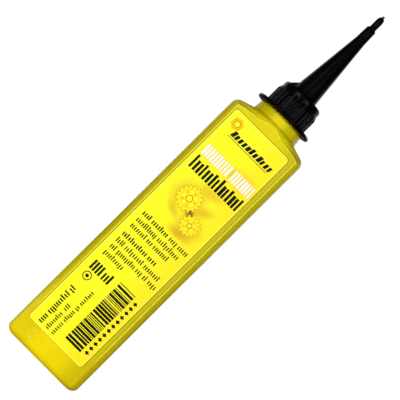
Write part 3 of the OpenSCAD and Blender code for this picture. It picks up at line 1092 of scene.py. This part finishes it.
@dataclass
class SpoutCap:
    """The one-piece cap: drip flange, ribbed collar, fins, long spout and closed tip."""

    flange_z: float = 114.088
    flange_d: float = 22.895
    flange_t: float = 1.3
    collar_d: float = 15.8
    collar_r: float = 1.0
    top_z: float = 124.518
    roof_z: float = 123.318
    socket_d: float = 13.8
    rib_count: int = 28
    rib_w: float = 1.1
    rib_out: float = 0.6
    rib_stop: float = 2.2
    rib_fade: float = 1.4
    spout_d: float = 9.55
    taper_end_d: float = 3.95
    taper_h: float = 26.7
    slim_d: float = 3.65
    slim_h: float = 5.3
    spout_wall: float = 1.2
    fin_count: int = 3
    fin_t: float = 0.7
    fin_out: float = 2.1
    fin_h: float = 2.4
    tip_d: float = 2.5
    tip_step: float = 0.45
    tip_h: float = 4.95
    nose_h: float = 1.8
    nose_d: float = 0.9
    bore_d: float = 1.2
    tip_solid: float = 2.4
    nub_d: float = 0.9
    nub_h: float = 0.65
    thread_start: float = 116.568
    thread_drop: float = 1.6
    thread_turns: float = 1.125
    roof_lip: tuple[Point, ...] = ((0.0, 0.15), (0.15, 0.0))
    socket_top: tuple[Point, ...] = ((-0.3, 0.0), (-0.09, -0.09), (0.0, -0.3))
    socket_mouth: tuple[Point, ...] = ((0.0, 0.35), (0.1, 0.1), (0.35, 0.0))
    slim_end: tuple[Point, ...] = ((0.0, -0.12), (-0.03, -0.03), (-0.1, 0.05))
    tip_foot: tuple[Point, ...] = ((0.12, -0.06), (0.03, 0.02), (0.0, 0.12))
    points_a_rib: int = 12

    def __post_init__(self) -> None:
        """Work out the heights that follow from the sizes."""
        self.around = self.rib_count * self.points_a_rib
        self.slim_top = self.top_z + self.taper_h + self.slim_h
        self.tip_z = self.slim_top + self.tip_step
        self.nub_z = self.tip_z + self.tip_h

    def spout_r(self, height: float) -> float:
        """Return the spout's radius at a height above the collar."""
        if height < self.taper_h:
            return (self.spout_d + (self.taper_end_d - self.spout_d) * height / self.taper_h) / 2
        share = min(1.0, (height - self.taper_h) / self.slim_h)
        return (self.taper_end_d + (self.slim_d - self.taper_end_d) * share) / 2

    def rib(self, angle: float, z: float) -> float:
        """Return how far the grip ribs stand out of the collar at an angle and a height."""
        pitch = 2 * math.pi / self.rib_count
        off = (angle + pitch / 2) % pitch - pitch / 2
        half = self.rib_w / 2
        side = abs(off) * (self.collar_d / 2 + self.rib_out / 2)
        if side >= half:
            return 0.0
        full = self.rib_out - half + math.sqrt(half * half - side * side)
        ribs_z = self.top_z - self.rib_stop
        limit = self.rib_out * (ribs_z - z) / self.rib_fade
        return max(0.0, min(full, limit))

    def fin_share(self, angle: float, radius: float) -> float:
        """Return 1 within a fin's thickness, and 0 beside it, with a soft flank."""
        pitch = 2 * math.pi / self.fin_count
        off = (angle - math.pi + pitch / 2) % pitch - pitch / 2
        side = abs(off) * max(radius, 0.1)
        return 1 - smooth(side, self.fin_t / 2 - 0.06, self.fin_t / 2 + 0.14)

    def revolve(self, profile: Sequence[Point], change: Change | None = None) -> list[list[Spot]]:
        """Turn a profile round the axis.

        Args:
            profile: Radius and height of each ring.
            change: Gives another radius and height for an angle, a radius and a height.

        Returns:
            The rings.
        """
        rings = []
        for r, z in profile:
            ring = []
            for i in range(self.around):
                t = 2 * math.pi * i / self.around
                ri, zi = change(t, r, z) if change else (r, z)
                ring.append((ri * math.cos(t), ri * math.sin(t), zi))
            rings.append(ring)
        return rings

    def hollow(self) -> list[list[Spot]]:
        """Return the rings inside the cap, from the end of the channel to the flange's underside."""
        socket, bore = self.socket_d / 2, self.bore_d / 2
        end = self.nub_z - self.tip_solid
        inner = self.spout_r(0) - self.spout_wall
        profile = [(bore * 0.55, end + bore * 0.5), (bore, end)]
        profile += along((bore, end), (bore, self.top_z + self.taper_h + self.slim_h / 2), 3)
        narrow = self.spout_r(self.taper_h) - self.spout_wall
        profile += along(profile[-1], (narrow, self.top_z + self.taper_h), 2)
        profile += along(profile[-1], (inner, self.top_z), 8)
        profile += shifted(self.roof_lip, (inner, self.roof_z))
        top = shifted(self.socket_top, (socket, self.roof_z))
        mouth = shifted(self.socket_mouth, (socket, self.flange_z))
        profile += along(profile[-1], top[0], 3) + top[1:]
        profile += along(top[-1], mouth[0], 60) + mouth[1:]
        thread = ScrewThread(self.thread_start - self.thread_drop, self.thread_turns, -0.125)

        def threaded(angle: float, r: float, z: float) -> Point:
            """Return the point at an angle, with the thread where the profile is on the socket's wall."""
            return r - (thread.rise(angle, z) if abs(r - socket) < 1e-6 else 0.0), z

        return self.revolve(profile, threaded)

    def collar(self) -> list[list[Spot]]:
        """Return the rings of the flange and of the ribbed collar, up to its rounded top edge."""
        rim, outer, radius = self.flange_t / 2, self.flange_d / 2, self.collar_d / 2
        floor = self.flange_z + self.flange_t
        under_flat, top_flat, beside_ribs, foot, sharp = 1.2, 1.0, 0.25, 0.22, 0.02
        profile = [(outer - rim - under_flat, self.flange_z)]
        profile += arc((outer - rim, self.flange_z + rim), rim, -90, 90, 10)
        profile += [(outer - rim - top_flat, floor), (radius + self.rib_out + beside_ribs, floor)]
        flange = self.revolve(profile)
        low = arc((radius + foot, floor + foot), foot, 270, 180, 3)
        ribs_z = self.top_z - self.rib_stop
        low += along((radius, floor + foot), (radius, ribs_z - self.rib_fade), 5)
        low += along(low[-1], (radius, ribs_z - sharp), 7)
        low += [(radius, ribs_z + 2 * sharp)]
        low += along(low[-1], (radius, self.top_z - self.collar_r), 2)
        low += arc((radius - self.collar_r, self.top_z - self.collar_r), self.collar_r, 0, 90, 8)[1:]

        def ribbed(angle: float, r: float, z: float) -> Point:
            """Return the point at an angle, with the ribs where the profile is on the collar's wall."""
            return max(r, radius + self.rib(angle, z)) if r >= radius - 1e-6 else r, z

        return flange + self.revolve(low, ribbed)

    def finned(self) -> list[list[Spot]]:
        """Return the rings of the collar's top and the spout's foot, with the fins drawn out of them."""
        foot, beside_fins = 0.5, 0.35
        outer = (self.spout_d / 2 + self.fin_out + beside_fins, self.top_z)
        start = (self.spout_d / 2 + self.fin_out, self.top_z)
        base = [outer, start] + along(start, (self.spout_d / 2 + foot, self.top_z), 6)
        base += arc((self.spout_d / 2 + foot, self.top_z + foot), foot, 270, 186, 5)[1:]
        base += along(base[-1], (self.spout_r(self.fin_h), self.top_z + self.fin_h), 7)
        lengths = [0.0]
        for one, two in zip(base[1:], base[2:]):
            lengths.append(lengths[-1] + math.dist(one, two))
        end = (self.spout_r(self.fin_h), self.top_z + self.fin_h)
        rings = self.revolve(base[:1])
        for (r, z), length in zip(base[1:], lengths):
            share = length / lengths[-1]
            edge = (start[0] + (end[0] - start[0]) * share, start[1] + (end[1] - start[1]) * share)
            ends = smooth(share, 0.0, 0.1) * (1 - smooth(share, 0.93, 1.0))

            def drawn(t: float, r: float = r, z: float = z, edge: Point = edge, ends: float = ends) -> Point:
                """Return the point at an angle, drawn out to the fin's edge."""
                w = self.fin_share(t, edge[0]) * max(ends, 0.0)
                return r + (edge[0] - r) * w, z + (edge[1] - z) * w

            rings += self.revolve([(r, z)], lambda t, _r, _z: drawn(t))
        return rings

    def spout(self) -> list[list[Spot]]:
        """Return the rings from the fins' top to the nub's end."""
        start = (self.spout_r(self.fin_h), self.top_z + self.fin_h)
        tip, end_r, nub = self.tip_d / 2, self.nose_d / 2, self.nub_d / 2
        slim_end = shifted(self.slim_end, (self.slim_d / 2, self.slim_top))
        profile = along(start, (self.taper_end_d / 2, self.top_z + self.taper_h), 14)
        profile += along(profile[-1], slim_end[0], 3) + slim_end[1:]
        profile += shifted(self.tip_foot, (tip, self.tip_z))
        profile += along(profile[-1], (tip, self.nub_z - self.nose_h), 3)
        for i in range(1, 11):
            t = math.pi / 2 * i / 10
            z = self.nub_z - self.nose_h * (1 - math.sin(t))
            profile.append((end_r + (tip - end_r) * math.cos(t), z))
        waist, cut = nub * 0.85, 0.05
        profile += [(waist + cut, self.nub_z + 0.01), (waist, self.nub_z + 0.08)]
        profile += [(waist, self.nub_z + 0.25), (nub * 0.95, self.nub_z + 0.4), (nub, self.nub_z + 0.5)]
        profile += [(nub, self.nub_z + self.nub_h - cut), (nub - cut, self.nub_z + self.nub_h)]
        return self.revolve(profile)

    def build(self, material: bpy.types.Material) -> bpy.types.Object:
        """Make the cap, put it in the CAD node's place and return it."""
        rings = np.array(self.hollow() + self.collar() + self.finned() + self.spout(), float)
        end = self.nub_z - self.tip_solid + self.bore_d / 2
        piece = MeshMaker.sleeve("spout_cap_body", rings, (0.0, end), (0.0, self.nub_z + self.nub_h), 34)
        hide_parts("spout_cap")
        return place(piece, Body.CAP, material)


# The printed label


class PrintColour(Enum):
    """Inks of the label."""

    BLACK = Ink("ink_black", srgb(9, 8, 3), Drift(srgb(30, 26, 8), 900.0, 0.5))
    WHITE = Ink("ink_white", srgb(255, 255, 238), Drift(srgb(255, 248, 196), 900.0, 0.5))
    ORANGE = Ink("ink_orange", srgb(250, 204, 22), Drift(srgb(240, 180, 16), 900.0, 0.5))
    YELLOW = Ink("ink_yellow", srgb(255, 246, 42), Drift(srgb(252, 234, 36), 900.0, 0.5))
    BROWN = Ink("ink_brown", srgb(188, 134, 14), Drift(srgb(164, 110, 10), 900.0, 0.5))


@dataclass(frozen=True)
class DashRow:
    """Short dashes in groups: start, stop, foot, height, weight of a dash, and shares at which a gap lies."""

    start: float
    stop: float
    low: float
    tall: float
    weight: float
    gaps: tuple[float, ...] = ()


@dataclass(frozen=True)
class BarRow:
    """Upright bars: ink, start, stop, foot, top, weight, shares of the height, lean and orange border."""

    ink: PrintColour
    start: float
    stop: float
    low: float
    high: float
    weight: float
    tops: tuple[float, ...] = (1.0,)
    lean: float = 0.0
    border: float = 0.0


@dataclass
class LabelPrint:
    """Generic print of the label: rows of bars and dashes, a nut, toothed wheels, a ring and diamonds."""

    back: float = -10.12
    thickness: float = 0.012
    module: float = 0.3
    gap: float = 0.34
    seed: int = 41
    headings: tuple[BarRow, ...] = (
        BarRow(
            PrintColour.BLACK, -8.4, 9.4, 97.4, 99.7, 1.15, (1.0, 0.8, 0.8, 0.8, 0.8, 1.0, 0.8), lean=0.28
        ),
        BarRow(PrintColour.WHITE, -11.0, 0.3, 86.4, 90.6, 0.82, border=0.12),
        BarRow(PrintColour.WHITE, 1.7, 10.7, 86.4, 90.6, 0.82, border=0.12),
        BarRow(
            PrintColour.BLACK, -11.0, 10.7, 80.5, 85.7, 0.98, (1.0, 0.75, 0.75, 0.9, 0.75, 0.75, 0.9, 0.75)
        ),
    )
    rows: tuple[DashRow, ...] = (
        DashRow(-10.3, 1.2, 58.4, 1.95, 0.5, (0.26,)),
        DashRow(1.9, 10.3, 58.4, 1.95, 0.42, (0.4,)),
        DashRow(-10.3, 8.6, 55.5, 1.95, 0.42, (0.44,)),
        DashRow(-10.3, 6.5, 52.8, 1.95, 0.42, (0.4, 0.58)),
        DashRow(-10.3, 4.6, 49.0, 1.95, 0.5, (0.7,)),
        DashRow(-10.3, 9.1, 46.1, 1.95, 0.42, (0.16, 0.58)),
        DashRow(-10.3, 10.3, 43.3, 1.95, 0.42, (0.1, 0.52, 0.66, 0.8)),
        DashRow(-10.3, -2.1, 40.4, 1.95, 0.42),
    )
    figures: tuple[BarRow, ...] = (
        BarRow(PrintColour.BLACK, -10.3, -5.9, 33.7, 37.4, 0.78),
        BarRow(PrintColour.BLACK, -5.0, -2.0, 33.7, 37.4, 0.68, (0.74, 0.74, 1.0)),
    )
    side_rows: tuple[DashRow, ...] = (
        DashRow(9.8, 26.2, -10.3, 2.2, 0.52, (0.2, 0.82)),
        DashRow(9.8, 20.9, -6.8, 1.6, 0.42, (0.6, 0.68)),
        DashRow(9.8, 29.1, -4.3, 1.6, 0.42, (0.24, 0.52, 0.64)),
    )
    shapes: dict[PrintColour, list[Outline]] = field(default_factory=dict)

    def __post_init__(self) -> None:
        """Start the random numbers at their seed."""
        self.rng = random.Random(self.seed)

    def add(self, ink: PrintColour, edge: Sequence[Point], hole: Sequence[Point] = ()) -> None:
        """Keep one outline for an ink."""
        self.shapes.setdefault(ink, []).append((list(edge), list(hole)))

    def box(self, ink: PrintColour, x0: float, z0: float, x1: float, z1: float, lean: float = 0.0) -> None:
        """Keep a bar, leant to the right by a share of its height."""
        push = (z1 - z0) * lean
        self.add(ink, [(x0, z0), (x1, z0), (x1 + push, z1), (x0 + push, z1)])

    def ring(
        self, ink: PrintColour, x: float, z: float, outer: float, inner: float = 0.0, steps: int = 40
    ) -> None:
        """Keep a ring, or a disc where it has no inner radius."""
        turn = 360 - 360 / steps
        hole = arc((x, z), inner, 0, turn, steps - 1) if inner else []
        self.add(ink, arc((x, z), outer, 0, turn, steps - 1), hole)

    def dashes(self, row: DashRow, upright: bool = True) -> None:
        """Keep a row of short dashes, as small print looks from afar.

        Args:
            row: The row.
            upright: False turns the row a quarter, to run up the label.
        """
        gaps = [row.start + (row.stop - row.start) * share for share in row.gaps]
        at = row.start
        while at < row.stop - row.weight:
            if gaps and at > gaps[0]:
                at += row.tall * 0.3
                gaps.pop(0)
                continue
            kind = self.rng.random()
            rise = row.tall * (1.0 if kind < 0.24 else 0.72)
            drop = row.tall * 0.22 if kind > 0.94 else 0.0
            if upright:
                self.box(PrintColour.BLACK, at, row.low - drop, at + row.weight, row.low + rise)
            else:
                top = row.low + row.tall
                self.box(PrintColour.BLACK, top - rise, at, top + drop, at + row.weight)
            at += row.weight + self.rng.uniform(self.gap, 1.5 * self.gap)

    def bars(self, row: BarRow) -> None:
        """Keep a row of upright bars of a few heights and weights."""
        length, edge = row.stop - row.start, row.border
        count = max(1, round((length + row.weight * 0.5) / (row.weight * 1.5)))
        pitch = (length - row.weight) / max(1, count - 1)
        for i in range(count):
            left = row.start + pitch * i
            right = left + row.weight * self.rng.choice((0.85, 1.0, 1.0, 1.2))
            top = row.low + (row.high - row.low) * row.tops[i % len(row.tops)]
            if edge:
                self.box(PrintColour.ORANGE, left - edge, row.low - edge, right + edge, top + edge, row.lean)
            self.box(row.ink, left, row.low, right, top, row.lean)

    def wheel(self, x: float, z: float, outer: float, teeth: int, turn: float) -> None:
        """Keep a toothed wheel with round openings and a hub, in yellow with brown lines.

        Args:
            x: Middle of the wheel across.
            z: Middle of the wheel upwards.
            outer: Radius over the teeth.
            teeth: Number of teeth.
            turn: Turn of the teeth in degrees.
        """
        root = outer - 0.75
        tooth = ((0.0, root), (0.26, root), (0.38, outer), (0.62, outer), (0.74, root))

        def outline(grow: float) -> list[Point]:
            """Return the toothed outline, grown by a distance."""
            points: list[Point] = []
            for i in range(teeth):
                for part, radius in tooth:
                    t = math.radians(turn + 360 * (i + part) / teeth)
                    points.append((x + (radius + grow) * math.cos(t), z + (radius + grow) * math.sin(t)))
            return points

        self.add(PrintColour.YELLOW, outline(0.0))
        self.add(PrintColour.BROWN, outline(0.16), outline(0.0))
        self.ring(PrintColour.ORANGE, x, z, root * 0.84, root * 0.84 - 0.26)
        self.ring(PrintColour.BROWN, x, z, root * 0.34, root * 0.34 - 0.28)
        for i in range(5):
            t = math.radians(turn + 72 * i)
            middle = (x + root * 0.58 * math.cos(t), z + root * 0.58 * math.sin(t))
            self.ring(PrintColour.ORANGE, *middle, root * 0.15, steps=16)

    def nut(self, x: float, z: float, radius: float, bore: float, turn: float) -> None:
        """Keep a six-sided nut: an orange ring with a straight-sided outline and a round bore.

        Args:
            x: Middle of the nut across.
            z: Middle of the nut upwards.
            radius: Radius over its corners.
            bore: Radius of its bore.
            turn: Turn in degrees.
        """
        steps = 36

        def spot(i: int, inner: bool) -> Point:
            """Return a point of the bore or of the outline."""
            t = math.radians(360 * i / steps)
            r = bore if inner else radius * math.cos(math.pi / 6) / math.cos(t % (math.pi / 3) - math.pi / 6)
            return x + r * math.cos(t + math.radians(turn)), z + r * math.sin(t + math.radians(turn))

        edge, hole = ([spot(i, inner) for i in range(steps)] for inner in (False, True))
        self.add(PrintColour.ORANGE, edge, hole)
        self.ring(PrintColour.BROWN, x, z, bore + 0.12, bore - 0.1)

    def stripes(self, low: float, high: float, left: float, right: float) -> None:
        """Keep a column of stripes of uneven width, which encode nothing."""
        at = low
        while at < high:
            wide = self.rng.choice((1, 1, 2, 3, 3)) * self.module
            self.box(PrintColour.BLACK, left, at, right, min(at + wide, high))
            at += wide + self.rng.choice((1, 1, 1, 1, 2)) * self.module

    def diamonds(
        self, x: float, first: float, count: int, pitch: float, half_w: float, half_h: float
    ) -> None:
        """Keep a column of small diamonds.

        Args:
            x: Middle of the column across.
            first: Middle of the lowest diamond upwards.
            count: Number of diamonds.
            pitch: Distance from one to the next.
            half_w: Half width of each.
            half_h: Half height of each.
        """
        for i in range(count):
            z = first + i * pitch
            self.add(PrintColour.BLACK, [(x - half_w, z), (x, z - half_h), (x + half_w, z), (x, z + half_h)])

    def draw(self) -> None:
        """Lay out the whole print."""
        self.nut(-9.1, 101.5, 2.3, 1.05, 20.0)
        self.bars(self.headings[0])
        self.box(PrintColour.BLACK, -8.9, 96.75, 8.8, 96.95, 0.28)
        for heading in self.headings[1:]:
            self.bars(heading)
        self.wheel(-2.9, 73.1, 4.6, 16, 4.0)
        self.wheel(3.5, 66.7, 3.7, 13, 10.0)
        for row in self.rows:
            self.dashes(row)
        for figure in self.figures:
            self.bars(figure)
        self.ring(PrintColour.BLACK, -8.7, 31.4, 1.6, 1.3)
        self.ring(PrintColour.BLACK, -8.7, 31.4, 0.62)
        for row in self.side_rows:
            self.dashes(row, upright=False)
        self.stripes(11.9, 37.7, 0.7, 7.6)
        self.diamonds(9.3, 13.4, 12, 2.04, 0.9, 0.72)

    def build(self) -> list[bpy.types.Object]:
        """Make one thin piece for each ink, with the inks that lie over others a little thicker."""
        self.draw()
        lift = {
            PrintColour.YELLOW: 0.0, PrintColour.ORANGE: 0.003, PrintColour.BROWN: 0.005,
            PrintColour.BLACK: 0.005, PrintColour.WHITE: 0.007,
        }
        pieces = []
        for ink, outlines in self.shapes.items():
            thick = self.thickness + lift[ink]
            piece = MeshMaker.plates(f"print_{ink.name.lower()}", outlines, self.back, thick)
            pieces.append(place(piece, Body.BOTTLE, ink.value.build()))
        return pieces


# Marks raised on the plastic


@dataclass
class MouldMarks:
    """Small raised marks low on the front panel, with a painted highlight and less roughness on them."""

    front: float = -10.0
    height: float = 0.1
    sunk: float = 0.02
    sheen_and_gloss: float = 0.55
    bars: tuple[tuple[float, float, float, float], ...] = (
        (-11.8, -9.5, 2.9, 3.15), (-7.4, -5.7, 2.9, 3.15), (-11.2, -10.2, 5.0, 5.2),
        (-5.9, -4.9, 5.0, 5.2), (-9.0, -8.5, 6.3, 6.9), (-7.9, -7.4, 6.3, 6.9),
    )
    ring_at: Point = (-8.2, 4.7)
    ring_r: float = 1.3
    ring_hole_r: float = 1.08

    def build(self, material: bpy.types.Material) -> bpy.types.Object:
        """Make the marks and return them."""
        shapes = [([(x0, z0), (x1, z0), (x1, z1), (x0, z1)], []) for x0, x1, z0, z1 in self.bars]
        edge, hole = (arc(self.ring_at, radius, 0, 345, 23) for radius in (self.ring_r, self.ring_hole_r))
        shapes.append((edge, hole))
        piece = MeshMaker.plates("mould_marks", shapes, self.front + self.sunk, self.height + self.sunk)
        # The crease share gives the marks a painted highlight and less roughness.
        crease = piece.data.attributes.new("crease", "FLOAT", "POINT")
        crease.data.foreach_set("value", [self.sheen_and_gloss] * len(piece.data.vertices))
        return place(piece, Body.BOTTLE, material)


# Floor, light and camera


@dataclass(frozen=True)
class Lamp:
    """A soft square lamp: its place and side in metres and its power in watts."""

    name: str
    at: Spot
    size: float
    power: float


@dataclass
class Studio:
    """Plain pale floor, soft light and the camera of the photograph."""

    camera_at: Spot = (-0.1, -450.0, 75.25)
    roll: float = 45.15
    focal_px: float = 1337.0
    frame_px: float = 400.0
    sensor: float = 36.0
    floor_z: float = -0.02
    floor_reach: float = 4000.0
    lit_point: Spot = (0.0, 0.0, 0.075)
    lamps: tuple[Lamp, ...] = (
        Lamp("key", (-0.47, -0.87, 0.155), 0.3, 5.5),
        Lamp("fill", (0.45, -0.88, 0.155), 0.3, 4.6),
        Lamp("top", (0.0, 0.0, 1.2), 0.9, 0.8),
        Lamp("back_left", (-0.75, 1.07, 0.25), 1.0, 6.2),
        Lamp("back_right", (0.75, 1.07, 0.25), 1.0, 6.6),
    )

    def floor(self) -> bpy.types.Object:
        """Make the floor and return it: near white to the camera, and darker in what the object mirrors."""
        steps = 48
        rim = arc((0.0, 0.0), self.floor_reach, 0, 360 - 360 / steps, steps - 1)
        piece = MeshMaker.link("floor", [(x, y, self.floor_z) for x, y in rim], [tuple(range(steps))])
        material = bpy.data.materials.new("pale_floor")
        material.use_nodes = True
        tree = Tree(material.node_tree)
        seen = tree.add("ShaderNodeLightPath").outputs["Is Camera Ray"]
        noise = tree.add("ShaderNodeTexNoise", {"Scale": 900.0, "Detail": 2.0}).outputs[0]
        pale = tree.mix(noise, (0.86, 0.86, 0.86), (0.9, 0.9, 0.9))
        far = tree.add("ShaderNodeVectorMath", {0: tree.here()}, operation="LENGTH").outputs["Value"]
        glow = tree.math("MULTIPLY_ADD", tree.band(far, 0.06, 0.35), 0.25, 0.76)
        values = {
            "Base Color": tree.mix(seen, (0.34, 0.34, 0.33), pale), "Emission Color": (1.0, 1.0, 1.0),
            "Emission Strength": tree.math("MULTIPLY", seen, glow), "Roughness": 0.8,
            "Specular IOR Level": 0.1,
        }
        for name, value in values.items():
            tree.put(material.node_tree.nodes["Principled BSDF"].inputs[name], value)
        piece.data.materials.append(material)
        return piece

    def world(self) -> None:
        """Set the light that comes from all round, white to the camera and dimmer to the object."""
        world = bpy.data.worlds.new("studio_world")
        bpy.context.scene.world = world
        world.use_nodes = True
        tree = Tree(world.node_tree)
        background = world.node_tree.nodes["Background"]
        seen = tree.add("ShaderNodeLightPath").outputs["Is Camera Ray"]
        tree.put(background.inputs["Strength"], tree.math("MULTIPLY_ADD", seen, 0.95, 0.09))
        tree.put(background.inputs["Color"], (1.0, 1.0, 1.0))

    def lights(self) -> None:
        """Hang the lamps, each facing the object."""
        for lamp in self.lamps:
            data = bpy.data.lights.new(lamp.name, "AREA")
            data.shape, data.size, data.energy = "SQUARE", lamp.size, lamp.power
            piece = bpy.data.objects.new(lamp.name, data)
            bpy.context.scene.collection.objects.link(piece)
            piece.location = lamp.at
            way = Vector(self.lit_point) - Vector(lamp.at)
            piece.rotation_euler = way.to_track_quat("-Z", "Y").to_euler()
            piece.visible_camera = False

    def camera(self) -> None:
        """Set up the camera at the photograph's angle."""
        data = bpy.data.cameras.new("camera")
        data.sensor_width = self.sensor
        data.lens = self.focal_px / self.frame_px * self.sensor
        data.clip_start, data.clip_end = 0.01, 20.0
        camera = bpy.data.objects.new("camera", data)
        bpy.context.scene.collection.objects.link(camera)
        turn = math.radians(self.roll)
        right, up = Vector((math.cos(turn), 0, math.sin(turn))), Vector((-math.sin(turn), 0, math.cos(turn)))
        rows = Matrix((right, up, Vector((0, -1, 0)))).transposed()
        camera.matrix_world = Matrix.Translation(Vector(self.camera_at) * MM) @ rows.to_4x4()
        bpy.context.scene.camera = camera

    def build(self) -> None:
        """Make the camera, the floor and the light."""
        self.camera()
        self.floor()
        self.world()
        self.lights()
        settings = bpy.context.scene.view_settings
        settings.view_transform, settings.look = "Standard", "None"
        settings.exposure, settings.gamma = 0.0, 1.0


@dataclass
class KeptNodes:
    """CAD nodes that keep their shape and get a finish."""

    finishes: dict[str, Finish]

    def dress(self) -> None:
        """Give each node its material."""
        for name, finish in self.finishes.items():
            material = finish.build()
            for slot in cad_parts[name].material_slots:
                slot.material = material
            log.info("%s: CAD shape with %s", name, finish.name)


def main() -> None:
    """Build the dressed model."""
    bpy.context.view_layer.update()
    Studio().build()
    plastic = BlownPlastic().build()
    BottleShell().build(plastic)
    MouldMarks().build(plastic)
    SpoutCap().build(MouldedBlack().build())
    KeptNodes({"label": LabelFilm(), "seal_ring": SealFoam(), "lube": AmberOil()}).dress()
    LabelPrint().build()


if __name__ == "__main__":
    main()
